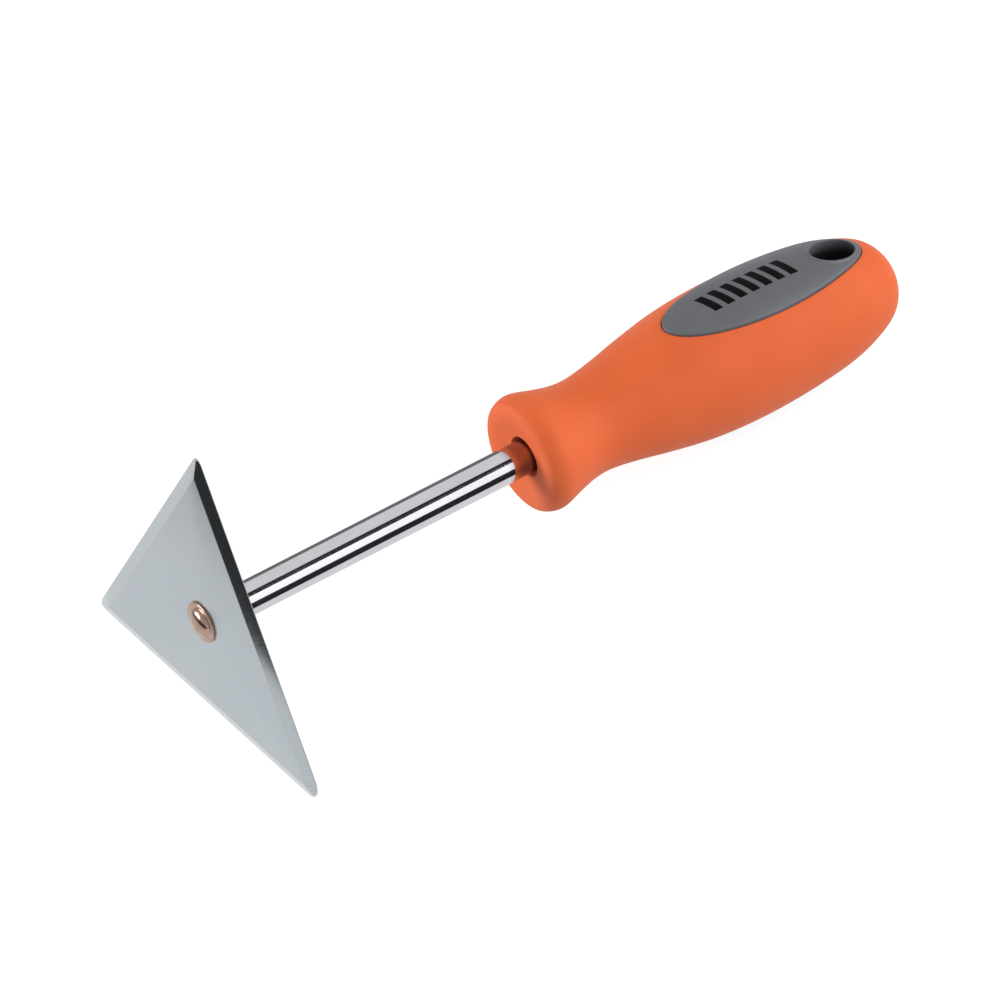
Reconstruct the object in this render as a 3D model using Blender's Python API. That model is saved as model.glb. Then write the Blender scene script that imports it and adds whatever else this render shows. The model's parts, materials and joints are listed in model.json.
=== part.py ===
"""Triangular paint scraper (shave hook): a bevelled steel plate riveted to a
chromed round bar, with a hard handle core and a soft overmoulded grip.

The tool is modelled along its own axis, from the blade's back plane (x = 0)
to the butt of the handle (+x), with one corner of the blade towards +z.
An empty then lays it down as it rests on a table: on the blade's lower edge
and on the belly of the grip.  Units are metres.
"""
import math

import bmesh
import bpy

MM = 0.001
GAP = 0.3 * MM                 # clearance between pieces that touch

# Blade: an equilateral plate, ground on its front face along all three sides
BLADE_SIDE = 86.7 * MM         # side of the triangle before its corners are rounded
BLADE_DROP = 0.9 * MM          # how far the triangle's centre lies below the rivet
BLADE_THICKNESS = 1.3 * MM
BLADE_BEVEL = 3.4 * MM         # width of the ground bevel across the face
BLADE_LAND = 0.15 * MM         # thickness left at the cutting edge
BLADE_CORNER_RADII = (1.6 * MM, 3.6 * MM, 1.8 * MM)     # at +z, -y and +y

# Rivet that holds the blade to the end of the bar
RIVET_HEAD_R = 5.0 * MM
RIVET_BRIM = 0.5 * MM          # thickness of the flat brim
RIVET_DOME_R = 3.8 * MM
RIVET_DOME_HEIGHT = 1.5 * MM   # above the brim
RIVET_STEM_R = 2.5 * MM
RIVET_STEM_DEPTH = 9.0 * MM    # how far the stem reaches into the bar

# Bar, with a flattened tang that the handle is moulded around
SHANK_R = 4.0 * MM
SHANK_CHAMFER = 0.4 * MM
TANG_END = 152.0 * MM
TANG_WING_X = (118.0 * MM, 132.0 * MM)
TANG_WING_WIDTH = 12.0 * MM
TANG_WING_THICKNESS = 2.6 * MM

# Handle: outer profile as (x, radius) stations in millimetres, from the
# dished front face over the rim, the neck and the belly to the round butt
HANDLE_STATIONS = [
    (87.4, 0.0), (87.3, 4.8), (86.5, 8.2), (86.0, 10.6), (86.2, 12.3), (87.3, 13.5),
    (90.3, 14.1), (95.5, 12.7), (100.0, 11.65), (105.0, 11.35), (112.0, 12.3),
    (121.0, 14.1), (131.0, 15.75), (141.0, 16.5), (151.0, 16.5), (161.0, 15.9),
    (171.0, 14.65), (178.5, 12.6), (184.0, 10.0), (187.0, 6.8), (188.4, 3.4), (188.7, 0.0),
]
GRIP_BORE_R = 4.8 * MM         # hole in the grip's front face that the bar enters
GRIP_WALL = 3.0 * MM           # thickness of the soft skin over the core
CORE_FRONT = 90.5 * MM

# Oval windows in the grip, on top and underneath, where the core shows.
# The core stands slightly proud of the grip there.
OVAL_CENTRE_X = 154.4 * MM
OVAL_HALF_LENGTH = 27.1 * MM
OVAL_HALF_WIDTH = 9.4 * MM
OVAL_TAPER = 0.058             # fraction that the oval narrows by towards the butt
PAD_PROUD = 0.5 * MM
OVAL_TURN = -0.03              # radians about the tool's axis, from upright towards +y

# Hole for hanging the tool up, right through both ovals
HANG_HOLE_X = 173.9 * MM
HANG_HOLE_HALF_LENGTH = 5.7 * MM
HANG_HOLE_HALF_WIDTH = 3.95 * MM

CORNER_POINTS = 7              # points round each corner of the blade
SIDE_POINTS = 8                # points along each side between the corners
ROUND_SEGMENTS = 40
CURVE_STEPS = 2                # points per profile station
CUT = 60.0 * MM                # cutters reach this far past the tool


def clear_scene():
    for obj in list(bpy.data.objects):
        bpy.data.objects.remove(obj, do_unlink=True)


def material(name, colour, roughness, metallic=0.0):
    mat = bpy.data.materials.new(name)
    mat.use_nodes = True
    shader = mat.node_tree.nodes["Principled BSDF"]
    shader.inputs["Base Color"].default_value = (*colour, 1.0)
    shader.inputs["Roughness"].default_value = roughness
    shader.inputs["Metallic"].default_value = metallic
    return mat


def add_object(name, bm, parent, mat=None):
    """Make an object of the bmesh; one without a material is a cutter."""
    bmesh.ops.recalc_face_normals(bm, faces=bm.faces)
    mesh = bpy.data.meshes.new(name)
    bm.to_mesh(mesh)
    bm.free()
    obj = bpy.data.objects.new(name, mesh)
    bpy.context.scene.collection.objects.link(obj)
    obj.parent = parent
    if mat is None:
        obj.hide_render = True
        obj.display_type = 'WIRE'
    else:
        mesh.materials.append(mat)
        mesh.shade_smooth()
        mesh.set_sharp_from_angle(angle=math.radians(30.0))
    return obj


def boolean(obj, operation, other):
    mod = obj.modifiers.new(f"{operation.lower()}_{other.name}", 'BOOLEAN')
    mod.operation = operation
    mod.solver = 'EXACT'
    mod.object = other


def turned(profile, segments=ROUND_SEGMENTS):
    """Solid turned about the X axis from (x, radius) points, ends on the axis."""
    bm = bmesh.new()
    rings = []
    for x, radius in profile:
        if radius == 0.0:
            rings.append([bm.verts.new((x, 0.0, 0.0))])
            continue
        angles = [2.0 * math.pi * i / segments for i in range(segments)]
        rings.append([bm.verts.new((x, radius * math.cos(a), radius * math.sin(a))) for a in angles])
    for ring, following in zip(rings, rings[1:]):
        for i in range(segments):
            j = (i + 1) % segments
            around = [ring[i % len(ring)], ring[j % len(ring)],
                      following[j % len(following)], following[i % len(following)]]
            bm.faces.new(list(dict.fromkeys(around)))
    return bm


def prism(outline, low, high):
    """Straight prism along Z of an outline in (x, y)."""
    bm = bmesh.new()
    face = bm.faces.new([bm.verts.new((x, y, low)) for x, y in outline])
    grown = bmesh.ops.extrude_face_region(bm, geom=[face])["geom"]
    top = [g for g in grown if isinstance(g, bmesh.types.BMVert)]
    bmesh.ops.translate(bm, vec=(0.0, 0.0, high - low), verts=top)
    return bm


def box(low, high):
    outline = [(low[0], low[1]), (high[0], low[1]), (high[0], high[1]), (low[0], high[1])]
    return prism(outline, low[2], high[2])


def oval(centre_x, half_length, half_width, points, taper=0.0):
    """Outline in (x, y) of an ellipse, narrowed towards +x by the taper."""
    angles = [2.0 * math.pi * i / points for i in range(points)]
    return [(centre_x + half_length * math.cos(a),
             half_width * math.sin(a) * (1.0 - taper * math.cos(a))) for a in angles]


def triangle_outlines():
    """The blade's outlines, point for point: at the cutting edges, as (y, z, height of
    the edge's wall), and at the inner ends of the bevels, as (y, z)."""
    reach = BLADE_SIDE / math.sqrt(3.0)
    front_reach = reach - 2.0 * BLADE_BEVEL
    rise = (BLADE_THICKNESS - BLADE_LAND) / BLADE_BEVEL

    def on_arc(corner, swing):
        """Point (y, z) on a corner's arc, swung in radians from its middle."""
        out = math.radians(90.0 + 120.0 * corner)
        radius = BLADE_CORNER_RADII[corner % 3]
        arc_centre = reach - 2.0 * radius
        return (arc_centre * math.cos(out) + radius * math.cos(out + swing),
                arc_centre * math.sin(out) + radius * math.sin(out + swing))

    def front_corner(corner):
        out = math.radians(90.0 + 120.0 * corner)
        return front_reach * math.cos(out), front_reach * math.sin(out)

    half_turn = math.radians(60.0)
    edge, front = [], []
    for corner in range(3):
        for i in range(CORNER_POINTS):
            swing = half_turn * (2.0 * i / (CORNER_POINTS - 1) - 1.0)
            inside = BLADE_CORNER_RADII[corner] * (1.0 - math.cos(half_turn - abs(swing)))
            edge.append((*on_arc(corner, swing), BLADE_LAND + rise * inside))
            front.append(front_corner(corner))
        side = zip(on_arc(corner, half_turn), on_arc(corner + 1, -half_turn))
        front_side = zip(front_corner(corner), front_corner(corner + 1))
        (y0, y1), (z0, z1) = side
        (fy0, fy1), (fz0, fz1) = front_side
        for i in range(1, SIDE_POINTS + 1):
            t = i / (SIDE_POINTS + 1)
            edge.append((y0 + (y1 - y0) * t, z0 + (z1 - z0) * t, BLADE_LAND))
            front.append((fy0 + (fy1 - fy0) * t, fz0 + (fz1 - fz0) * t))
    lowered = [(y, z - BLADE_DROP, height) for y, z, height in edge]
    return lowered, [(y, z - BLADE_DROP) for y, z in front]


def ring_like(outline, radius):
    """Points on a circle in the same directions as the outline's."""
    return [(radius * y / math.hypot(y, z), radius * z / math.hypot(y, z)) for y, z, *_ in outline]


def smooth_through(points, steps):
    """Catmull-Rom curve through the points, with the given steps between each two."""
    padded = [points[0], *points, points[-1]]
    curve = []
    for p0, p1, p2, p3 in zip(padded, padded[1:], padded[2:], padded[3:]):
        for i in range(steps):
            t = i / steps
            curve.append(tuple(
                0.5 * (2.0 * b + (c - a) * t + (2.0 * a - 5.0 * b + 4.0 * c - d) * t ** 2
                       + (3.0 * b - a - 3.0 * c + d) * t ** 3)
                for a, b, c, d in zip(p0, p1, p2, p3)))
    return curve + [points[-1]]


def handle_profile():
    curve = smooth_through(HANDLE_STATIONS, CURVE_STEPS)
    return [(x * MM, max(radius, 0.0) * MM) for x, radius in curve]


def moved_inwards(profile, distance):
    """The inner points of a profile, each moved inwards across the curve."""
    moved = []
    for (x0, r0), (x1, r1), (x2, r2) in zip(profile, profile[1:], profile[2:]):
        slope = math.atan2(r2 - r0, x2 - x0)
        moved.append((x1 + distance * math.sin(slope), r1 - distance * math.cos(slope)))
    return moved


def core_profile(wall):
    """Outline of the core's body: the handle's, a wall's thickness inside it."""
    inner = [(x, r) for x, r in moved_inwards(handle_profile(), wall) if x > CORE_FRONT and r > 0.0]
    front = CORE_FRONT - (GRIP_WALL - wall)
    butt = HANDLE_STATIONS[-1][0] * MM - wall
    return [(front, 0.0), (front, inner[0][1]), *inner, (butt, 0.0)]


def pad_profile():
    """Outline of the surface of the ovals, proud of the grip, over their length."""
    proud = [(x, r) for x, r in moved_inwards(handle_profile(), -PAD_PROUD) if x > OVAL_CENTRE_X - CUT / 2.0]
    return [(proud[0][0], 0.0), *proud, (proud[-1][0], 0.0)]


def make_blade(parent):
    """Plate lofted through matching outlines, from the hole's front edge over the
    ground bevels and the cutting edges to the hole's back edge."""
    steel = material("blade_steel", (0.46, 0.50, 0.53), 0.38, 1.0)
    edge, front = triangle_outlines()
    face, back = -BLADE_THICKNESS, 0.0
    hole = ring_like(edge, RIVET_STEM_R + GAP)
    loops = [[(face, y, z) for y, z in hole], [(face, y, z) for y, z in front],
             [(-height, y, z) for y, z, height in edge], [(back, y, z) for y, z, _ in edge],
             [(back, y, z) for y, z in hole]]
    bm = bmesh.new()
    rows = []
    for loop in loops:
        made = {place: bm.verts.new(place) for place in loop}
        rows.append([made[place] for place in loop])
    for row, following in zip(rows, rows[1:] + rows[:1]):
        for i in range(len(row)):
            j = (i + 1) % len(row)
            around = dict.fromkeys([row[i], row[j], following[j], following[i]])
            bm.faces.new(list(around))
    return add_object("blade", bm, parent, steel)


def make_rivet(parent):
    copper = material("rivet_copper", (0.60, 0.42, 0.31), 0.25, 1.0)
    seat = -BLADE_THICKNESS - GAP
    brim_top = seat - RIVET_BRIM
    dome = []
    for i in range(7):
        a = math.radians(90.0) * i / 6
        dome.append((brim_top - RIVET_DOME_HEIGHT * math.cos(a), RIVET_DOME_R * math.sin(a)))
    edge = 0.35 * RIVET_BRIM
    profile = dome + [(brim_top, RIVET_HEAD_R - edge), (brim_top + edge, RIVET_HEAD_R),
                      (seat, RIVET_HEAD_R), (seat, RIVET_STEM_R),
                      (RIVET_STEM_DEPTH, RIVET_STEM_R), (RIVET_STEM_DEPTH, 0.0)]
    return add_object("rivet", turned(profile, 28), parent, copper)


def tang(extra):
    """Bar from behind the blade to the tang's end, with the wings' box."""
    start = GAP
    end = TANG_END + extra
    radius = SHANK_R + extra
    bar = [(start, 0.0), (start, radius - SHANK_CHAMFER), (start + SHANK_CHAMFER, radius),
           (end - SHANK_CHAMFER, radius), (end, radius - SHANK_CHAMFER), (end, 0.0)]
    half_width = TANG_WING_WIDTH / 2.0 + extra
    half_thickness = TANG_WING_THICKNESS / 2.0 + extra
    wings = box((TANG_WING_X[0] - extra, -half_width, -half_thickness),
                (TANG_WING_X[1] + extra, half_width, half_thickness))
    return turned(bar, 28), wings


def make_shank(parent):
    chrome = material("shank_chrome", (0.82, 0.82, 0.83), 0.08, 1.0)
    bar, wings = tang(0.0)
    shank = add_object("shank", bar, parent, chrome)
    boolean(shank, 'UNION', add_object("tang_wings", wings, parent))
    bore_end = RIVET_STEM_DEPTH + GAP
    bore = turned([(-CUT, 0.0), (-CUT, RIVET_STEM_R + GAP), (bore_end, RIVET_STEM_R + GAP),
                   (bore_end, 0.0)], 28)
    boolean(shank, 'DIFFERENCE', add_object("rivet_bore", bore, parent))
    return shank


def window(extra):
    outline = oval(OVAL_CENTRE_X, OVAL_HALF_LENGTH + extra, OVAL_HALF_WIDTH + extra, 48, OVAL_TAPER)
    return prism(outline, -CUT, CUT)


def make_handle(parent, oval_axis):
    grey = material("core_grey_plastic", (0.15, 0.155, 0.17), 0.45)
    orange = material("grip_orange_rubber", (0.70, 0.155, 0.045), 0.55)

    core = add_object("handle_core", turned(core_profile(GRIP_WALL)), parent, grey)
    pads = add_object("core_pads", turned(pad_profile()), parent)
    boolean(pads, 'INTERSECT', add_object("pad_outline", window(0.0), oval_axis))
    boolean(core, 'UNION', pads)
    cavity, wing_cavity = tang(GAP)
    boolean(core, 'DIFFERENCE', add_object("tang_cavity", cavity, parent))
    boolean(core, 'DIFFERENCE', add_object("wing_cavity", wing_cavity, parent))
    hang = prism(oval(HANG_HOLE_X, HANG_HOLE_HALF_LENGTH, HANG_HOLE_HALF_WIDTH, 28), -CUT, CUT)
    boolean(core, 'DIFFERENCE', add_object("hang_hole", hang, oval_axis))

    grip = add_object("handle_grip", turned(handle_profile()), parent, orange)
    inside = add_object("grip_inside", turned(core_profile(GRIP_WALL - GAP)), parent)
    boolean(grip, 'DIFFERENCE', inside)
    boolean(grip, 'DIFFERENCE', add_object("grip_windows", window(GAP), oval_axis))
    bore = turned([(-CUT, 0.0), (-CUT, GRIP_BORE_R), (CORE_FRONT + GRIP_WALL, GRIP_BORE_R),
                   (CORE_FRONT + GRIP_WALL, 0.0)])
    boolean(grip, 'DIFFERENCE', add_object("grip_bore", bore, parent))
    return core, grip


def corners(pieces):
    """Every corner of the finished pieces, in world space."""
    bpy.context.view_layer.update()
    graph = bpy.context.evaluated_depsgraph_get()
    evaluated = [piece.evaluated_get(graph) for piece in pieces]
    return [obj.matrix_world @ v.co for obj in evaluated for v in obj.data.vertices]


def lay_down(axis, pieces):
    """Tilt the tool until blade edge and belly both touch the ground, and centre it."""
    edge_drop = BLADE_SIDE / (2.0 * math.sqrt(3.0)) + BLADE_DROP
    tilt = min(math.atan2(edge_drop + c.z, c.x) for c in corners(pieces) if c.x > CORE_FRONT)
    axis.rotation_euler = (0.0, tilt, 0.0)
    placed = corners(pieces)
    low = [min(c[i] for c in placed) for i in range(3)]
    high = [max(c[i] for c in placed) for i in range(3)]
    axis.location = (-(low[0] + high[0]) / 2.0, -(low[1] + high[1]) / 2.0, -low[2])


def add_axis(name, parent=None):
    axis = bpy.data.objects.new(name, None)
    bpy.context.scene.collection.objects.link(axis)
    axis.parent = parent
    return axis


def main():
    clear_scene()
    axis = add_axis("tool_axis")
    oval_axis = add_axis("oval_axis", axis)
    oval_axis.rotation_euler = (OVAL_TURN, 0.0, 0.0)
    pieces = [make_blade(axis), make_rivet(axis), make_shank(axis), *make_handle(axis, oval_axis)]
    lay_down(axis, pieces)


main()
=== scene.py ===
"""Looks of the triangular scraper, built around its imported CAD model.

Every piece is modelled along the tool's own axis, in millimetres, as the CAD
model is: x = 0 is the back of the blade and +x runs to the butt of the handle.
The place of that axis in the scene comes from the mounts on the blade's three
ground bevels, which lie evenly around the middle of the blade.
"""
import json
import math

import bmesh
import bpy
import numpy as np
from mathutils import Matrix, Vector


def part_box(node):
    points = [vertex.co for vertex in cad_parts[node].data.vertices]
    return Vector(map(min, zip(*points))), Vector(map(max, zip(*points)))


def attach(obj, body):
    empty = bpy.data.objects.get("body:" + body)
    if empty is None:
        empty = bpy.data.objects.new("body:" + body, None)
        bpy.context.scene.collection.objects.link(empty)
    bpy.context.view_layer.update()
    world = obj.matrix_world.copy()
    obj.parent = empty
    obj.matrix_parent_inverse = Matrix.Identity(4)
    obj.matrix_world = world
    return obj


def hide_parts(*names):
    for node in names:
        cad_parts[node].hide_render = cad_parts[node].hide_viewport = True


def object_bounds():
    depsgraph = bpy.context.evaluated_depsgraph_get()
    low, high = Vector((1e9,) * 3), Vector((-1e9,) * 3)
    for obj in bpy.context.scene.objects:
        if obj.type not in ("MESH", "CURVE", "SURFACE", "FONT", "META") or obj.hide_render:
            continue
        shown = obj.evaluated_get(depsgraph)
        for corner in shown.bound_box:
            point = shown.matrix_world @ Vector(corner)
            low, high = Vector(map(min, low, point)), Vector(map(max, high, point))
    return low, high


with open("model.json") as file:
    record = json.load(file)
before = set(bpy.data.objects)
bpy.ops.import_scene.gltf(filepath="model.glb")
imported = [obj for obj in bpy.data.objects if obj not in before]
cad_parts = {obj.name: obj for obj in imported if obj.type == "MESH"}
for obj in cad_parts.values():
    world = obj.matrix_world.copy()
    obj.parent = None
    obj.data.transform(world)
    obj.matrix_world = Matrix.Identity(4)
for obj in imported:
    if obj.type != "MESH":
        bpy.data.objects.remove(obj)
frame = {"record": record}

CAD_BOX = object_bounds()
MM = 0.001

# The blade's sizes, as in the CAD model
BLADE_REACH = 86.7 / math.sqrt(3.0)   # from the blade's centre to an unrounded corner
BLADE_DROP = 0.9                      # how far that centre lies below the rivet
BLADE_THICKNESS = 1.3
BLADE_BEVEL = 3.4
BLADE_LAND = 0.15
BLADE_CORNER_RADII = (1.7, 3.7, 1.9)  # at +z, -y and +y; 0.1 over the CAD's, whose arcs are coarse
BLADE_HONE = 0.09                     # softened ridges between the ground faces

# Rivet and bar
RIVET_STEM_R = 2.5
RIVET_HEAD_R = 5.0
RIVET_DOME_R = 3.7
RIVET_DOME_HEIGHT = 1.5
RIVET_BRIM = 0.55
RIVET_EDGE_R = 0.2                    # rounding of the brim's outer edge
RIVET_STEM_DEPTH = 9.0
RIVET_STEM_CHAMFER = 0.3
RIVET_FIT = 0.05                      # from the stem to the blade's hole and the bar's bore
SHANK_R = 4.0
SHANK_FRONT = 0.03                    # just behind the back of the blade
SHANK_CHAMFER = 0.35
TANG_END = 152.0
TANG_WINGS = ((118.0, -6.0, -1.3), (132.0, 6.0, 1.3))   # lowest and highest corner

# The handle's outer profile: (x, radius) stations, as in the CAD model
HANDLE_STATIONS = [
    (87.4, 0.0), (87.3, 4.8), (86.5, 8.2), (86.0, 10.6), (86.2, 12.3), (87.3, 13.5),
    (90.3, 14.1), (95.5, 12.7), (100.0, 11.65), (105.0, 11.35), (112.0, 12.3),
    (121.0, 14.1), (131.0, 15.75), (141.0, 16.5), (151.0, 16.5), (161.0, 15.9),
    (171.0, 14.65), (178.5, 12.6), (184.0, 10.0), (187.0, 6.8), (188.4, 3.4), (188.7, 0.0),
]
BELLY_START = 90.3                    # from this station on, x only grows
BORE_R = 4.8
BORE_LIP = 0.45
BORE_FRONT = 87.2                     # the handle's face, where the bore opens
BORE_WALL = 0.4                       # step from the bore to the inside of the grip
GRIP_WALL = 3.0
CORE_DEPTH = 3.2                      # how deep the hard core lies under the handle's surface
CORE_FRONT = 90.5
CORE_FIT = 0.03                       # from the core to the tang

OVAL = {"centre": 154.4, "half_length": 27.1, "half_width": 9.4, "taper": 0.058}
OVAL_TURN = -0.03                     # radians about the axis, from upright towards +y
PAD_PROUD = 0.5
PAD_INSET = 0.10                      # the pad's outline inside the nominal oval
PAD_EDGE_R = 0.3
SEAM_GAP = 0.12                       # open groove between pad and grip
GRIP_EDGE_R = 0.25
HANG_HOLE = {"centre": 173.9, "half_length": 5.7, "half_width": 3.95, "taper": 0.0}
HOLE_CLEARANCE = 0.8                  # cut round the hole before its lining goes in
# Section of the raised lip round the hanging hole: (distance from its wall, rise)
HOLE_LIP = [(0.0, -0.30), (0.03, -0.06), (0.12, 0.12), (0.28, 0.22), (0.50, 0.21),
            (0.68, 0.11), (0.80, 0.03), (0.95, 0.0)]

AROUND = 96                           # points round a turned piece
WINDOW_STEPS = 72                     # rings from one end of an oval to the other
PAD_ROWS = 30
ROUNDING = (0.0, 22.5, 45.0, 67.5, 90.0)   # degrees of turn round a small edge


# ---------------------------------------------------------------- tool frame

def tool_matrix():
    """Place of the tool's own frame, from the three bevel mounts of the record."""
    bevels = [m for m in frame["record"]["mounts"] if m["name"].startswith("bevel_")]
    along = -sum((Vector(m["axis"]) for m in bevels), Vector()).normalized()
    across = Vector((0.0, 1.0, 0.0))
    up = along.cross(across)
    middle = sum((Vector(m["pos_m"]) for m in bevels), Vector()) / len(bevels)
    origin = middle + along * (BLADE_THICKNESS + BLADE_LAND) / 2.0 * MM + up * BLADE_DROP * MM
    turn = Matrix((along, across, up)).transposed().to_4x4()
    return Matrix.Translation(origin) @ turn


TOOL = tool_matrix()


# ------------------------------------------------------------- mesh helpers

def finish_piece(name, bm, node, mat, sharp=35.0, turn=0.0):
    """Turn a bmesh in tool millimetres into a piece that rides on the root body."""
    bmesh.ops.recalc_face_normals(bm, faces=bm.faces)
    bm.transform(TOOL @ Matrix.Rotation(turn, 4, 'X') @ Matrix.Scale(MM, 4))
    mesh = bpy.data.meshes.new(name)
    bm.to_mesh(mesh)
    bm.free()
    mesh.shade_smooth()
    mesh.set_sharp_from_angle(angle=math.radians(sharp))
    mesh.materials.append(mat)
    piece = bpy.data.objects.new(name, mesh)
    bpy.context.scene.collection.objects.link(piece)
    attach(piece, "root")
    if node:
        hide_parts(node)
    return piece


def join_loops(bm, first, second):
    """Faces between two closed rows of as many vertices, which may repeat or be one."""
    count = max(len(first), len(second))
    for i in range(count):
        j = (i + 1) % count
        around = [first[i % len(first)], first[j % len(first)],
                  second[j % len(second)], second[i % len(second)]]
        around = list(dict.fromkeys(around))
        if len(around) > 2:
            bm.faces.new(around)


def turned(profile, around=AROUND):
    """Solid turned about X from (x, radius) points whose ends are on the axis."""
    bm = bmesh.new()
    rings = []
    for x, radius in profile:
        steps = 1 if radius == 0.0 else around
        angles = [2.0 * math.pi * i / steps for i in range(steps)]
        rings.append([bm.verts.new((x, radius * math.cos(a), radius * math.sin(a))) for a in angles])
    for ring, following in zip(rings, rings[1:]):
        join_loops(bm, ring, following)
    return bm


def box(low, high):
    """Block between its lowest and its highest corner."""
    bm = bmesh.new()
    made = bmesh.ops.create_cube(bm, size=1.0)
    size = [h - l for l, h in zip(low, high)]
    bmesh.ops.scale(bm, vec=size, verts=made["verts"])
    bmesh.ops.translate(bm, vec=[(l + h) / 2.0 for l, h in zip(low, high)], verts=made["verts"])
    return bm


def arc(centre, radius, start, end, steps):
    """Points of an arc in (x, radius), between two angles in degrees."""
    angles = [math.radians(start + (end - start) * i / steps) for i in range(steps + 1)]
    return [(centre[0] + radius * math.cos(a), centre[1] + radius * math.sin(a)) for a in angles]


def combined(bm, operation, other):
    """Exact boolean of two bmeshes in tool millimetres, as a new bmesh."""
    objects = []
    for part in (bm, other):
        bmesh.ops.recalc_face_normals(part, faces=part.faces)
        mesh = bpy.data.meshes.new("boolean_part")
        part.to_mesh(mesh)
        part.free()
        obj = bpy.data.objects.new("boolean_part", mesh)
        bpy.context.scene.collection.objects.link(obj)
        objects.append(obj)
    mod = objects[0].modifiers.new("boolean", 'BOOLEAN')
    mod.operation = operation
    mod.solver = 'EXACT'
    mod.object = objects[1]
    bpy.context.view_layer.update()
    evaluated = objects[0].evaluated_get(bpy.context.evaluated_depsgraph_get())
    result = bmesh.new()
    result.from_mesh(evaluated.data)
    for obj in objects:
        mesh = obj.data
        bpy.data.objects.remove(obj)
        bpy.data.meshes.remove(mesh)
    return result


def smooth_through(points, steps):
    """Catmull-Rom curve through the points, with the given steps between each two."""
    padded = np.array([points[0], *points, points[-1]])
    curve = []
    for a, b, c, d in zip(padded, padded[1:], padded[2:], padded[3:]):
        for i in range(steps):
            t = i / steps
            curve.append(0.5 * (2.0 * b + (c - a) * t + (2.0 * a - 5.0 * b + 4.0 * c - d) * t ** 2
                                + (3.0 * b - a - 3.0 * c + d) * t ** 3))
    curve.append(padded[-1])
    return np.array(curve)


def moved_inwards(curve, distance):
    """A profile moved inwards across itself, without its two ends."""
    run = curve[2:] - curve[:-2]
    slope = np.arctan2(run[:, 1], run[:, 0])
    inwards = np.stack([np.sin(slope), -np.cos(slope)], axis=1)
    return curve[1:-1] + distance * inwards


FINE = smooth_through(HANDLE_STATIONS, steps=12)
BELLY = FINE[FINE[:, 0] >= BELLY_START]
BELLY = BELLY[np.argsort(BELLY[:, 0])]


def radius_at(x):
    """Radius of the handle's outer skin, behind the start of its belly."""
    return float(np.interp(x, BELLY[:, 0], BELLY[:, 1]))


def oval_point(shape, angle, grow=0.0):
    """Point in (x, y) of an oval, moved outwards across it by grow."""
    half_length, half_width, taper = shape["half_length"], shape["half_width"], shape["taper"]
    x = shape["centre"] + half_length * math.cos(angle)
    y = half_width * math.sin(angle) * (1.0 - taper * math.cos(angle))
    dx = -half_length * math.sin(angle)
    dy = half_width * (math.cos(angle) - taper * math.cos(2.0 * angle))
    length = math.hypot(dx, dy)
    return x + grow * dy / length, y - grow * dx / length


# -------------------------------------------------------------------- blade

def corner_on(reach, corner, radius=0.0, swing=0.0):
    """Point (y, z) on a corner's arc, or the sharp corner where the radius is 0."""
    out = math.radians(90.0 + 120.0 * corner)
    centre = reach - 2.0 * radius
    return (centre * math.cos(out) + radius * math.cos(out + swing),
            centre * math.sin(out) + radius * math.sin(out + swing) - BLADE_DROP)


def blade_outlines(corner_points=13, side_points=14):
    """Matching outlines: cutting edges as (y, z, wall height), bevel tops as (y, z)."""
    front_reach = BLADE_REACH - 2.0 * BLADE_BEVEL
    rise = (BLADE_THICKNESS - BLADE_LAND) / BLADE_BEVEL
    half_turn = math.radians(60.0)
    edge, front = [], []
    for corner, radius in enumerate(BLADE_CORNER_RADII):
        for i in range(corner_points):
            swing = half_turn * (2.0 * i / (corner_points - 1) - 1.0)
            inside = radius * (1.0 - math.cos(half_turn - abs(swing)))
            edge.append((*corner_on(BLADE_REACH, corner, radius, swing), BLADE_LAND + rise * inside))
            front.append(corner_on(front_reach, corner))
        following = (corner + 1) % 3
        start = Vector(corner_on(BLADE_REACH, corner, radius, half_turn))
        end = Vector(corner_on(BLADE_REACH, following, BLADE_CORNER_RADII[following], -half_turn))
        top_start, top_end = (Vector(corner_on(front_reach, c)) for c in (corner, following))
        for i in range(1, side_points + 1):
            t = i / (side_points + 1)
            edge.append((*start.lerp(end, t), BLADE_LAND))
            front.append(tuple(top_start.lerp(top_end, t)))
    return edge, front


def bevel_normal(out):
    """Normal of the ground face whose edge points out at an angle in degrees, from +y."""
    slope = math.atan2(BLADE_THICKNESS - BLADE_LAND, BLADE_BEVEL)
    out = math.radians(out)
    return Vector((-math.cos(slope), math.sin(slope) * math.cos(out), math.sin(slope) * math.sin(out)))


def make_blade(mat):
    edge, front = blade_outlines()
    hole_r = RIVET_STEM_R + RIVET_FIT
    hole = [(hole_r * y / math.hypot(y, z), hole_r * z / math.hypot(y, z)) for y, z, _ in edge]
    face = -BLADE_THICKNESS
    loops = [[(face, y, z) for y, z in hole], [(face, y, z) for y, z in front],
             [(-height, y, z) for y, z, height in edge], [(0.0, y, z) for y, z, _ in edge],
             [(0.0, y, z) for y, z in hole]]
    bm = bmesh.new()
    rows = []
    for loop in loops:
        made = {place: bm.verts.new(place) for place in dict.fromkeys(loop)}
        rows.append([made[place] for place in loop])
    for row, following in zip(rows, rows[1:] + rows[:1]):
        join_loops(bm, row, following)
    bmesh.ops.recalc_face_normals(bm, faces=bm.faces)
    ridges = [e for e in bm.edges if e.calc_face_angle(0.0) > math.radians(10.0)]
    bmesh.ops.bevel(bm, geom=ridges, offset=BLADE_HONE, offset_type='OFFSET', segments=2,
                    profile=0.5, affect='EDGES', clamp_overlap=True)
    piece = finish_piece("blade_plate", bm, "blade", mat, sharp=15.0)
    mark_ground_faces(piece.data)
    return piece


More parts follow.
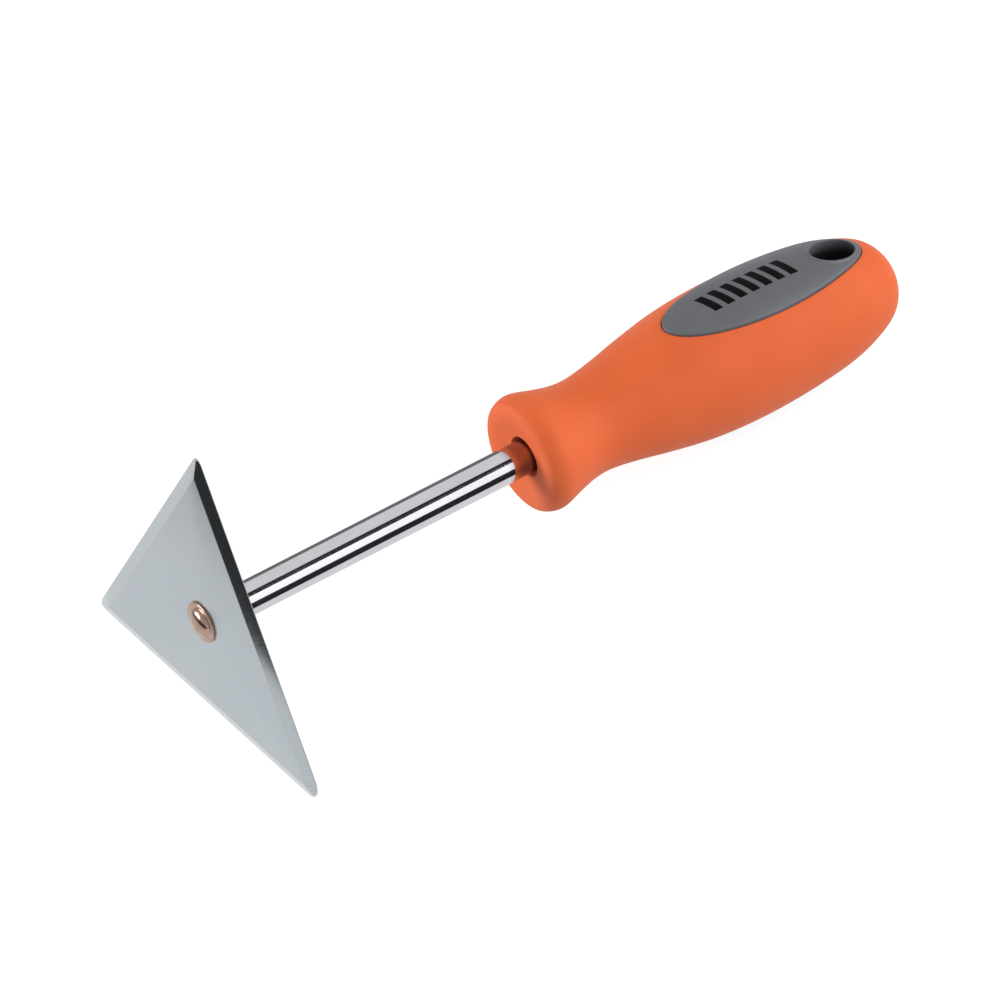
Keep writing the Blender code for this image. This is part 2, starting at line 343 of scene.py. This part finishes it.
def mark_ground_faces(mesh):
    """Store, on the corners of the ground faces, how far along its edge each one is."""
    along = mesh.attributes.new("along_edge", 'FLOAT', 'CORNER')
    ground = mesh.attributes.new("ground", 'FLOAT', 'CORNER')
    turn = TOOL.to_3x3()
    for side in range(3):
        out = -90.0 + 120.0 * side
        normal = turn @ bevel_normal(out)
        direction = turn @ Vector((0.0, -math.sin(math.radians(out)), math.cos(math.radians(out))))
        for polygon in mesh.polygons:
            if polygon.normal.angle(normal) < math.radians(4.0):
                for corner in polygon.loop_indices:
                    place = mesh.vertices[mesh.loops[corner].vertex_index].co
                    along.data[corner].value = place.dot(direction) + side
                    ground.data[corner].value = 1.0


# ---------------------------------------------------------- rivet and shank

def make_rivet(mat):
    seat = -BLADE_THICKNESS - 0.01
    brim_top = seat - RIVET_BRIM
    dome = [(brim_top - RIVET_DOME_HEIGHT * math.cos(a), RIVET_DOME_R * math.sin(a))
            for a in np.linspace(0.0, math.radians(86.0), 15)]
    dome[0] = (dome[0][0], 0.0)
    edge_centre = (brim_top + RIVET_EDGE_R, RIVET_HEAD_R - RIVET_EDGE_R)
    brim = [(brim_top, RIVET_DOME_R + 0.12), *arc(edge_centre, RIVET_EDGE_R, 180.0, 90.0, 4),
            (seat - 0.05, RIVET_HEAD_R - 0.02), (seat, RIVET_HEAD_R - 0.12)]
    stem = [(seat, RIVET_STEM_R), (RIVET_STEM_DEPTH - RIVET_STEM_CHAMFER, RIVET_STEM_R),
            (RIVET_STEM_DEPTH, RIVET_STEM_R - RIVET_STEM_CHAMFER), (RIVET_STEM_DEPTH, 0.0)]
    return finish_piece("rivet_headed", turned(dome + brim + stem), "rivet", mat)


def make_shank(mat):
    bore_end = RIVET_STEM_DEPTH + 2.0 * RIVET_FIT
    bore_r = RIVET_STEM_R + RIVET_FIT
    profile = [(bore_end, 0.0), (bore_end, bore_r), (SHANK_FRONT, bore_r),
               (SHANK_FRONT, SHANK_R - SHANK_CHAMFER), (SHANK_FRONT + SHANK_CHAMFER, SHANK_R),
               (TANG_END - SHANK_CHAMFER, SHANK_R), (TANG_END, SHANK_R - SHANK_CHAMFER), (TANG_END, 0.0)]
    bm = combined(turned(profile, 128), 'UNION', box(*TANG_WINGS))
    return finish_piece("shank_bar", bm, "shank", mat)


# --------------------------------------------------------------------- grip

def shell(bm, rings):
    """Turned skin with windows on top and below. Each ring is (x, radius, half the
    angle that a window takes from it). Returns rows of vertices for both sides, by
    the sign of their y, each row from the ring's top to its bottom."""
    half = AROUND // 2
    sides = {1: [], -1: []}
    for x, radius, opening in rings:
        shared = {}
        for side in (1, -1):
            row = []
            for j in range(half + 1):
                angle = opening + (math.pi - 2.0 * opening) * j / half
                key = (side, j)
                if opening == 0.0 and j in (0, half):
                    key = j
                if radius == 0.0:
                    key = 0
                if key not in shared:
                    shared[key] = bm.verts.new((x, side * radius * math.sin(angle), radius * math.cos(angle)))
                row.append(shared[key])
            sides[side].append(row)
    for rows in sides.values():
        for row, following in zip(rows, rows[1:]):
            for j in range(half):
                around = list(dict.fromkeys([row[j], row[j + 1], following[j + 1], following[j]]))
                bm.faces.new(around)
    return sides


def rounded(radius, turn):
    """How far a rounded edge still lies back, and how far it has dropped, at a turn."""
    turn = math.radians(turn)
    return radius * (1.0 - math.sin(turn)), radius * (1.0 - math.cos(turn))


def window_loop(sides, first, column):
    """Vertices round a window, from its blade end along +y and back along -y."""
    last = first + WINDOW_STEPS
    there = [sides[1][k][column] for k in range(first, last + 1)]
    back = [sides[-1][k][column] for k in range(last - 1, first, -1)]
    return there + back


def grip_rings():
    """Rings of the outer skin and of its lining, each with its window's first ring, and
    the angles of the window's rings on the oval."""
    lip = arc((BORE_FRONT + BORE_LIP, BORE_R + BORE_LIP), BORE_LIP, 270.0, 180.0, 5)
    coarse = smooth_through(HANDLE_STATIONS, steps=7)
    face = [tuple(p) for p in coarse[1:-1] if p[1] > BORE_R + BORE_LIP or p[0] > BELLY_START]
    butt = tuple(coarse[-1])
    lined = [tuple(p) for p in moved_inwards(np.array([lip[-1], *face, butt]), GRIP_WALL)]
    lined.append((butt[0] - GRIP_WALL, 0.0))
    skin = [(lined[0][0], BORE_R), *lip, *face, butt]
    lined.insert(0, (lined[0][0], BORE_R + BORE_WALL))

    angles = [math.pi * (1.0 - k / WINDOW_STEPS) for k in range(WINDOW_STEPS + 1)]
    result = []
    wall = SEAM_GAP - PAD_INSET
    for curve, grow in ((skin, wall + GRIP_EDGE_R), (lined, wall)):
        widest = max(range(len(curve)), key=lambda i: curve[i][1])
        neck = [i for i in range(widest) if curve[i][0] > BELLY_START]
        front = min(neck, key=lambda i: curve[i][1])
        belly = np.array(curve[front:])
        edge = [oval_point(OVAL, a, grow) for a in angles]
        before = [p for i, p in enumerate(curve) if i <= front or p[0] < edge[0][0] - 0.5]
        after = [p for i, p in enumerate(curve) if i > front and p[0] > edge[-1][0] + 0.3]
        opened = []
        for x, y in edge:
            radius = float(np.interp(x, belly[:, 0], belly[:, 1]))
            opened.append((x, radius, math.asin(y / radius) if y > 1e-6 else 0.0))
        rings = [(*p, 0.0) for p in before] + opened + [(*p, 0.0) for p in after]
        result.append((rings, len(before)))
    return result, angles


def make_grip(mat):
    ((skin_rings, skin_first), (lining_rings, lining_first)), angles = grip_rings()
    bm = bmesh.new()
    skin = shell(bm, skin_rings)
    lining = shell(bm, lining_rings)
    half = AROUND // 2
    mouths = [sides[1][0] + sides[-1][0][half - 1:0:-1] for sides in (skin, lining)]
    join_loops(bm, *mouths)
    round_trip = angles + [-a for a in angles[-2:0:-1]]
    for column, up in ((0, 1.0), (half, -1.0)):
        rows = [window_loop(skin, skin_first, column)]
        for turn in ROUNDING[1:]:
            advance, drop = rounded(GRIP_EDGE_R, turn)
            row = []
            for a in round_trip:
                x, y = oval_point(OVAL, a, SEAM_GAP - PAD_INSET + advance)
                row.append(bm.verts.new((x, y, up * (math.sqrt(radius_at(x) ** 2 - y ** 2) - drop))))
            rows.append(row)
        rows.append(window_loop(lining, lining_first, column))
        for row, following in zip(rows, rows[1:]):
            join_loops(bm, row, following)
    return finish_piece("grip_skin", bm, "handle_grip", mat, sharp=50.0, turn=OVAL_TURN)


# --------------------------------------------------------------------- core

def pad_height(x, y):
    """Height of the core's oval surface over the tool's axis."""
    return math.sqrt((radius_at(x) + PAD_PROUD) ** 2 - y ** 2)


def in_hole_units(x, y, grow=0.0):
    """A place from the hanging hole's centre, in units of its half length and width."""
    return ((x - HANG_HOLE["centre"]) / (HANG_HOLE["half_length"] + grow),
            y / (HANG_HOLE["half_width"] + grow))


def pad_block():
    """Block between the two ovals, with the lipped hanging hole through it."""
    count = 2 * AROUND
    angles = [2.0 * math.pi * i / count for i in range(count)]
    toward = []
    for a in angles:
        u, v = in_hole_units(*oval_point(OVAL, a))
        toward.append(math.atan2(v, u))
    half = []
    for level in (0.0, 0.4, 0.6, 0.75, 0.85, 0.93):
        row = [oval_point(HANG_HOLE, b) for b in toward]
        half.append([(x, y, level * pad_height(x, y)) for x, y in row])
    for distance, rise in HOLE_LIP:
        row = [oval_point(HANG_HOLE, b, distance) for b in toward]
        half.append([(x, y, pad_height(x, y) + rise) for x, y in row])
    inner = [oval_point(HANG_HOLE, b, HOLE_LIP[-1][0]) for b in toward]
    outer = [oval_point(OVAL, a, -PAD_INSET - PAD_EDGE_R) for a in angles]
    for i in range(1, PAD_ROWS):
        t = i / PAD_ROWS
        row = [(p[0] + (q[0] - p[0]) * t, p[1] + (q[1] - p[1]) * t) for p, q in zip(inner, outer)]
        half.append([(x, y, pad_height(x, y)) for x, y in row])
    for turn in ROUNDING:
        back, drop = rounded(PAD_EDGE_R, turn)
        row = [oval_point(OVAL, a, -PAD_INSET - back) for a in angles]
        half.append([(x, y, pad_height(x, y) - drop) for x, y in row])
    half.append([(*oval_point(OVAL, a, -PAD_INSET), 0.0) for a in angles])
    lower = [[(x, y, -z) for x, y, z in row] for row in half[-2:0:-1]]
    bm = bmesh.new()
    rows = [[bm.verts.new(place) for place in row] for row in half + lower]
    for row, following in zip(rows, rows[1:] + rows[:1]):
        join_loops(bm, row, following)
    return bm


def prism(outline, low, high):
    """Upright block between two heights, over an outline of (x, y) points."""
    bm = bmesh.new()
    rows = [[bm.verts.new((x, y, z)) for x, y in outline] for z in (low, high)]
    join_loops(bm, *rows)
    for row in rows:
        bm.faces.new(row)
    return bm


def make_core(mat):
    inner = moved_inwards(FINE[::4], CORE_DEPTH)
    body = [(x, r) for x, r in inner if x > CORE_FRONT and r > 0.5]
    butt = FINE[-1][0] - CORE_DEPTH
    profile = [(CORE_FRONT, 0.0), (CORE_FRONT, body[0][1]), *body, (butt, 0.0)]
    around_hole = [oval_point(HANG_HOLE, math.radians(6.0 * i), HOLE_CLEARANCE) for i in range(60)]
    bm = combined(turned(profile, 64), 'DIFFERENCE', prism(around_hole, -20.0, 20.0))
    bm = combined(bm, 'UNION', pad_block())
    low, high = TANG_WINGS
    start, end, radius = CORE_FRONT - 5.0, TANG_END + CORE_FIT, SHANK_R + CORE_FIT
    tang = turned([(start, 0.0), (start, radius), (end, radius), (end, 0.0)], 62)
    wings = box([v - CORE_FIT for v in low], [v + CORE_FIT for v in high])
    tang = combined(tang, 'UNION', wings)
    tang.transform(Matrix.Rotation(-OVAL_TURN, 4, 'X'))
    bm = combined(bm, 'DIFFERENCE', tang)
    piece = finish_piece("core_moulding", bm, "handle_core", mat, turn=OVAL_TURN)
    mark_hole_depth(piece.data)
    return piece


def mark_hole_depth(mesh):
    """Store on the wall of the hanging hole how deep each corner lies, in millimetres."""
    depth = mesh.attributes.new("depth", 'FLOAT', 'POINT')
    to_tool = (TOOL @ Matrix.Rotation(OVAL_TURN, 4, 'X') @ Matrix.Scale(MM, 4)).inverted()
    for vertex in mesh.vertices:
        x, y, z = to_tool @ vertex.co
        if math.hypot(*in_hole_units(x, y, 0.2)) < 1.0:
            depth.data[vertex.index].value = max(pad_height(x, y) - abs(z), 0.0)


# ------------------------------------------------------------- printed mark

MARK_BARS = 7
MARK_START = 138.5
MARK_PITCH = 3.5
MARK_BAR = 2.1                        # width of a bar along the handle
MARK_HALF_HEIGHT = 3.1
MARK_SLANT = 1.6                      # how far a bar leans over its height
INK = 0.02                            # how far the ink lies above and below the surface


def border(grid):
    """The outermost points of a grid, once round."""
    right = [row[-1] for row in grid[1:-1]]
    left = [row[0] for row in grid[-2:0:-1]]
    return grid[0] + right + grid[-1][::-1] + left


def make_mark(mat):
    """Row of plain slanted bars, printed on the upper oval."""
    bm = bmesh.new()
    across, along = 12, 4
    for bar in range(MARK_BARS):
        left = MARK_START + bar * MARK_PITCH
        layers = []
        for lift in (INK, -INK):
            grid = []
            for i in range(across + 1):
                v = 2.0 * i / across - 1.0
                y = MARK_HALF_HEIGHT * v
                xs = [left + MARK_BAR * j / along - MARK_SLANT * v / 2.0 for j in range(along + 1)]
                grid.append([bm.verts.new((x, y, pad_height(x, y) + lift)) for x in xs])
            layers.append(grid)
        for grid in layers:
            for i in range(across):
                for j in range(along):
                    bm.faces.new([grid[i][j], grid[i][j + 1], grid[i + 1][j + 1], grid[i + 1][j]])
        join_loops(bm, *(border(grid) for grid in layers))
    return finish_piece("printed_bars", bm, None, mat, turn=OVAL_TURN)


# ---------------------------------------------------------------- materials

def new_material(name):
    """A material with its node tree and its Principled shader."""
    mat = bpy.data.materials.new(name)
    mat.use_nodes = True
    return mat, mat.node_tree, mat.node_tree.nodes["Principled BSDF"]


def node(tree, kind, **inputs):
    """A new node with values for its inputs, whose names take _ for a space."""
    made = tree.nodes.new(kind)
    for key, value in inputs.items():
        made.inputs[key.replace("_", " ")].default_value = value
    return made


def noise(tree, vector, scale, detail=4.0, roughness=0.55):
    made = node(tree, "ShaderNodeTexNoise", Scale=scale, Detail=detail, Roughness=roughness)
    tree.links.new(vector, made.inputs["Vector"])
    return made.outputs["Fac"]


def tool_coordinates(tree, scale=(1.0, 1.0, 1.0)):
    """Coordinates along the tool's own axes, each stretched by its scale."""
    mapping = node(tree, "ShaderNodeMapping", Location=TOOL.translation, Rotation=TOOL.to_euler(),
                   Scale=[1.0 / s for s in scale])
    mapping.vector_type = 'TEXTURE'
    tree.links.new(node(tree, "ShaderNodeTexCoord").outputs["Object"], mapping.inputs["Vector"])
    return mapping.outputs["Vector"]


def ramp(tree, value, low, high, from_low=0.3, from_high=0.7):
    """Map a value to a range; noise mostly lies between the two from values."""
    made = node(tree, "ShaderNodeMapRange", From_Min=from_low, From_Max=from_high,
                To_Min=low, To_Max=high)
    tree.links.new(value, made.inputs["Value"])
    return made.outputs["Result"]


def blend_colour(tree, factor, first, second):
    """Mix two colours, or a colour and a socket, by a socket."""
    made = tree.nodes.new("ShaderNodeMix")
    made.data_type = 'RGBA'
    colours = [socket for socket in made.inputs if socket.type == 'RGBA']
    tree.links.new(factor, made.inputs[0])
    for socket, value in zip(colours, (first, second)):
        if isinstance(value, bpy.types.NodeSocket):
            tree.links.new(value, socket)
        else:
            socket.default_value = (*value, 1.0)
    return next(socket for socket in made.outputs if socket.type == 'RGBA')


def blend_value(tree, factor, first, second):
    """Mix two value sockets by a third."""
    made = tree.nodes.new("ShaderNodeMix")
    for index, value in enumerate((factor, first, second)):
        tree.links.new(value, made.inputs[(0, 2, 3)[index]])
    return made.outputs[0]


def attribute(tree, name):
    """A value that the mesh stores under a name."""
    made = tree.nodes.new("ShaderNodeAttribute")
    made.attribute_name = name
    return made.outputs["Fac"]


def bump(tree, height, strength, distance):
    made = node(tree, "ShaderNodeBump", Strength=strength, Distance=distance)
    tree.links.new(height, made.inputs["Height"])
    return made.outputs["Normal"]


def steel():
    mat, tree, shader = new_material("ground_steel")
    link = tree.links.new
    shader.inputs["Metallic"].default_value = 1.0
    # Rolled face: faint clouds, and fine lines along the blade's y axis
    clouds = noise(tree, tool_coordinates(tree), 55.0, 5.0)
    lines = noise(tree, tool_coordinates(tree, (1.0, 0.05, 1.0)), 3600.0, 2.0)
    rolled = blend_colour(tree, ramp(tree, clouds, 0.0, 1.0), (0.432, 0.463, 0.488), (0.448, 0.479, 0.504))
    # Ground bevels: scratches across the edge
    grind = node(tree, "ShaderNodeTexNoise", Scale=2600.0, Detail=3.0, Roughness=0.6)
    grind.noise_dimensions = '1D'
    link(attribute(tree, "along_edge"), grind.inputs["W"])
    scratch = grind.outputs["Fac"]
    bright = blend_colour(tree, ramp(tree, scratch, 0.0, 1.0), (0.425, 0.452, 0.468), (0.470, 0.497, 0.512))
    ground = attribute(tree, "ground")
    link(blend_colour(tree, ground, rolled, bright), shader.inputs["Base Color"])
    rough = blend_value(tree, ground, ramp(tree, lines, 0.27, 0.30), ramp(tree, scratch, 0.15, 0.22))
    link(rough, shader.inputs["Roughness"])
    height = blend_value(tree, ground, lines, scratch)
    link(bump(tree, height, 0.05, 0.00001), shader.inputs["Normal"])
    return mat


def copper():
    mat, tree, shader = new_material("copper_plate")
    link = tree.links.new
    shader.inputs["Metallic"].default_value = 1.0
    patches = noise(tree, tool_coordinates(tree), 420.0, 4.0)
    link(blend_colour(tree, ramp(tree, patches, 0.0, 1.0), (0.37, 0.245, 0.185), (0.50, 0.35, 0.275)),
         shader.inputs["Base Color"])
    fine = noise(tree, tool_coordinates(tree), 3500.0, 3.0)
    link(ramp(tree, fine, 0.13, 0.24), shader.inputs["Roughness"])
    link(bump(tree, patches, 0.25, 0.00003), shader.inputs["Normal"])
    return mat


BAR_SHADE_SPAN = (80.5, 84.0)                  # x between which the bar is painted darker towards the grip, a painted shade for its darker reflection there


def chrome():
    mat, tree, shader = new_material("bright_chrome")
    link = tree.links.new
    shader.inputs["Metallic"].default_value = 1.0
    drawn = noise(tree, tool_coordinates(tree, (0.02, 1.0, 1.0)), 2600.0, 3.0)
    wipe = noise(tree, tool_coordinates(tree, (0.3, 1.0, 1.0)), 260.0, 4.0)
    bright = blend_colour(tree, ramp(tree, wipe, 0.0, 1.0), (0.80, 0.80, 0.82), (0.88, 0.88, 0.89))
    place = node(tree, "ShaderNodeSeparateXYZ")
    link(tool_coordinates(tree), place.inputs[0])
    # painted shade: the bar's colour darkens to brown towards the grip, standing in for the shaded grip face
    # that it mirrors
    bar_shade = ramp(tree, place.outputs["X"], 0.0, 1.0, *(x * MM for x in BAR_SHADE_SPAN))
    link(blend_colour(tree, bar_shade, bright, (0.36, 0.30, 0.30)), shader.inputs["Base Color"])
    link(ramp(tree, drawn, 0.035, 0.075), shader.inputs["Roughness"])
    link(bump(tree, drawn, 0.06, 0.000004), shader.inputs["Normal"])
    return mat


HOLE_SHADE_DEPTHS = (0.5, 3.4)               # depths in the hanging hole between which its wall is painted black, a painted shade for the deep recess


def hard_plastic():
    mat, tree, shader = new_material("grey_plastic")
    link = tree.links.new
    shader.inputs["Specular IOR Level"].default_value = 0.45
    spark = noise(tree, tool_coordinates(tree), 5200.0, 2.0)
    clouds = noise(tree, tool_coordinates(tree), 90.0, 4.0)
    tone = blend_colour(tree, ramp(tree, clouds, 0.0, 1.0), (0.088, 0.093, 0.104), (0.104, 0.110, 0.121))
    surface = blend_colour(tree, ramp(tree, spark, 0.0, 0.5), tone, (0.125, 0.131, 0.144))
    # painted shade: the hanging hole's wall is coloured black with depth, standing in for the shade inside it
    hole_shade = ramp(tree, attribute(tree, "depth"), 0.0, 1.0, *HOLE_SHADE_DEPTHS)
    link(blend_colour(tree, hole_shade, surface, (0.006, 0.006, 0.007)), shader.inputs["Base Color"])
    link(ramp(tree, spark, 0.44, 0.56), shader.inputs["Roughness"])
    link(bump(tree, spark, 0.35, 0.00004), shader.inputs["Normal"])
    return mat


def soft_rubber():
    mat, tree, shader = new_material("orange_rubber")
    link = tree.links.new
    shader.inputs["Specular IOR Level"].default_value = 0.25
    shader.inputs["Sheen Weight"].default_value = 0.08
    shader.inputs["Sheen Roughness"].default_value = 0.45
    shader.inputs["Sheen Tint"].default_value = (1.0, 0.72, 0.60, 1.0)
    grain = noise(tree, tool_coordinates(tree), 4200.0, 3.0)
    clouds = noise(tree, tool_coordinates(tree), 70.0, 5.0)
    tone = blend_colour(tree, ramp(tree, clouds, 0.0, 1.0), (0.655, 0.104, 0.022), (0.700, 0.118, 0.027))
    surface = blend_colour(tree, ramp(tree, grain, 0.0, 0.35), tone, (0.735, 0.138, 0.038))
    link(surface, shader.inputs["Base Color"])
    link(ramp(tree, grain, 0.60, 0.72), shader.inputs["Roughness"])
    link(bump(tree, grain, 0.30, 0.00004), shader.inputs["Normal"])
    return mat


def ink():
    mat, tree, shader = new_material("black_ink")
    link = tree.links.new
    shader.inputs["Specular IOR Level"].default_value = 0.05
    worn = noise(tree, tool_coordinates(tree), 2400.0, 4.0)
    link(blend_colour(tree, ramp(tree, worn, 0.0, 1.0), (0.002, 0.002, 0.002), (0.005, 0.005, 0.006)),
         shader.inputs["Base Color"])
    link(ramp(tree, worn, 0.40, 0.55), shader.inputs["Roughness"])
    return mat


# ----------------------------------------------------- stage, light, camera

VIEW_AZIMUTH = -31.87                 # 0 looks along +Y
VIEW_ELEVATION = 43.55
VIEW_ROLL = -6.43
VIEW_DISTANCE = 4.46                  # metres, from the aim
VIEW_SHIFT = (-0.01794, -0.00882, -0.01541)   # aim, from the centre of the bounds
LENS = 720.0

CARD_REACH = 450.0                    # radius of the ring of cards round the bar, in mm
CARD_LIFT = 0.0003                    # of the cards that lie on the floor, in metres
FLOOR_DROP = 0.00005


def view_direction():
    """Where the camera looks, in the scene."""
    azimuth, elevation = math.radians(VIEW_AZIMUTH), math.radians(VIEW_ELEVATION)
    return Vector((-math.sin(azimuth) * math.cos(elevation), math.cos(azimuth) * math.cos(elevation),
                   -math.sin(elevation)))


def reached(place, direction, reach=CARD_REACH):
    """Where a ray from a place in the tool's millimetres meets the floor, or else its reach."""
    start = TOOL @ (Vector(place) * MM)
    heading = TOOL.to_3x3() @ Vector(direction).normalized()
    far = reach * MM
    if heading.z < 0.0:
        far = min(far, (CARD_LIFT - start.z) / heading.z)
    return start + heading * far


def card(name, rows, brightness, tint=(1.0, 1.0, 1.0)):
    """Studio card that only shows in reflections: a flag when dark, a bounce when light."""
    bm = bmesh.new()
    made = [[bm.verts.new(place) for place in row] for row in rows]
    for row, following in zip(made, made[1:]):
        for i in range(len(row) - 1):
            bm.faces.new([row[i], row[i + 1], following[i + 1], following[i]])
    mesh = bpy.data.meshes.new(name)
    bm.to_mesh(mesh)
    bm.free()
    mat = bpy.data.materials.new(name)
    mat.use_nodes = True
    tree = mat.node_tree
    tree.nodes.clear()
    glow = node(tree, "ShaderNodeEmission", Strength=brightness, Color=(*tint, 1.0))
    out = tree.nodes.new("ShaderNodeOutputMaterial")
    tree.links.new(glow.outputs["Emission"], out.inputs["Surface"])
    mesh.materials.append(mat)
    obj = bpy.data.objects.new(name, mesh)
    bpy.context.scene.collection.objects.link(obj)
    for kind in ("camera", "diffuse", "transmission", "volume_scatter", "shadow"):
        setattr(obj, f"visible_{kind}", False)


# What the bar shows, by the angle about its axis that the view is mirrored to:
# (name, from, to, brightness); 0 is along +y and 90 up
BAR_CARDS = [("bar_flag_far", -47.0, 22.0, 0.16), ("bar_veil", 22.0, 103.0, 0.70),
             ("bar_flag_top", 103.0, 131.0, 0.02), ("bar_bounce", 131.0, 174.0, 1.10),
             ("bar_flag_near", 174.0, 212.0, 0.02), ("bar_ground", 212.0, 313.0, 0.74)]
BAR_TINT = (0.97, 0.965, 1.0)
BAR_SEEN = (-10.0, 92.0)              # x between which the bar is lit by the cards
BEVEL_SHADE = 0.64                    # how far down the near bevel its dark flag shows
BEVEL_FLAG = 0.012                    # brightness
FACE_BOUNCE = 1.0                     # brightness
FACE_TINT = (0.97, 0.99, 1.0)


def floor_card(name, x_range, y_range, brightness, tint=(1.0, 1.0, 1.0)):
    """Card that lies flat on the floor."""
    rows = [[Vector((x, y, CARD_LIFT)) for x in x_range] for y in y_range]
    card(name, rows, brightness, tint)


def make_cards():
    view = TOOL.to_3x3().transposed() @ view_direction()
    across = math.sqrt(1.0 - view.x ** 2)
    for name, start, end, brightness in BAR_CARDS:
        rows = []
        for angle in np.radians(np.linspace(start, end, 13)):
            heading = (view.x, across * math.cos(angle), across * math.sin(angle))
            rows.append([reached((x, 0.0, 0.0), heading) for x in BAR_SEEN])
        card(name, rows, brightness, BAR_TINT)
    # The near bevel, between the corners at +z and -y, mirrors a dark flag
    bevel = bevel_normal(150.0)
    mirrored = view - 2.0 * view.dot(bevel) * bevel
    top, low = (Vector((0.0, *corner_on(BLADE_REACH, corner))) for corner in (0, 1))
    shade = reached(top.lerp(low, BEVEL_SHADE), mirrored)
    floor_card("bevel_flag", (shade.x - 0.45, shade.x), (shade.y - 0.125, shade.y + 0.305), BEVEL_FLAG)
    # The blade's face mirrors the floor just in front of it
    blade_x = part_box("blade")[0].x
    floor_card("face_bounce", (blade_x - 0.055, blade_x - 0.001), (-0.06, 0.12), FACE_BOUNCE, FACE_TINT)


def make_floor():
    bm = bmesh.new()
    bmesh.ops.create_grid(bm, x_segments=1, y_segments=1, size=3.0)
    mesh = bpy.data.meshes.new("floor")
    bm.to_mesh(mesh)
    bm.free()
    mat, tree, shader = new_material("pale_floor")
    grain = noise(tree, tool_coordinates(tree), 300.0, 3.0)
    pale = blend_colour(tree, ramp(tree, grain, 0.0, 1.0), (0.30, 0.30, 0.30), (0.32, 0.32, 0.32))
    tree.links.new(pale, shader.inputs["Base Color"])
    shader.inputs["Roughness"].default_value = 0.9
    shader.inputs["Specular IOR Level"].default_value = 0.1
    shader.inputs["Emission Color"].default_value = (1.0, 1.0, 1.0, 1.0)
    shader.inputs["Emission Strength"].default_value = 0.82
    mesh.materials.append(mat)
    floor = bpy.data.objects.new("floor", mesh)
    floor.visible_diffuse = False     # the handle's underside stays in shade
    bpy.context.scene.collection.objects.link(floor)
    floor.location.z = -FLOOR_DROP


def sun(name, direction, strength, softness):
    """Soft light from a direction, the same everywhere."""
    data = bpy.data.lights.new(name, 'SUN')
    data.energy = strength
    data.angle = math.radians(softness)
    light = bpy.data.objects.new(name, data)
    bpy.context.scene.collection.objects.link(light)
    light.rotation_euler = Vector(direction).to_track_quat('Z', 'Y').to_euler()


def make_light():
    world = bpy.data.worlds.new("studio")
    bpy.context.scene.world = world
    world.use_nodes = True
    background = world.node_tree.nodes["Background"]
    background.inputs["Color"].default_value = (1.0, 1.0, 1.0, 1.0)
    background.inputs["Strength"].default_value = 0.62
    sun("key", (0.70, -0.55, 0.50), 2.20, 45.0)
    sun("left", (-0.86, 0.55, 0.12), 2.9, 30.0)


def make_camera():
    data = bpy.data.cameras.new("camera")
    data.lens = LENS
    data.sensor_width = 36.0
    data.clip_end = 50.0
    camera = bpy.data.objects.new("camera", data)
    bpy.context.scene.collection.objects.link(camera)
    low, high = (Vector(corner) for corner in CAD_BOX)
    aim = (low + high) / 2.0 + Vector(VIEW_SHIFT)
    forward = view_direction()
    azimuth = math.radians(VIEW_AZIMUTH)
    right = Vector((math.cos(azimuth), math.sin(azimuth), 0.0))
    upright = Matrix((right, right.cross(forward), -forward)).transposed()
    turn = upright @ Matrix.Rotation(math.radians(VIEW_ROLL), 3, 'Z')
    camera.matrix_world = Matrix.Translation(aim - forward * VIEW_DISTANCE) @ turn.to_4x4()
    bpy.context.scene.camera = camera


def main():
    make_blade(steel())
    make_rivet(copper())
    make_shank(chrome())
    make_grip(soft_rubber())
    make_core(hard_plastic())
    make_mark(ink())
    make_floor()
    make_cards()
    make_light()
    make_camera()
    bpy.context.scene.view_settings.view_transform = 'Standard'


main()
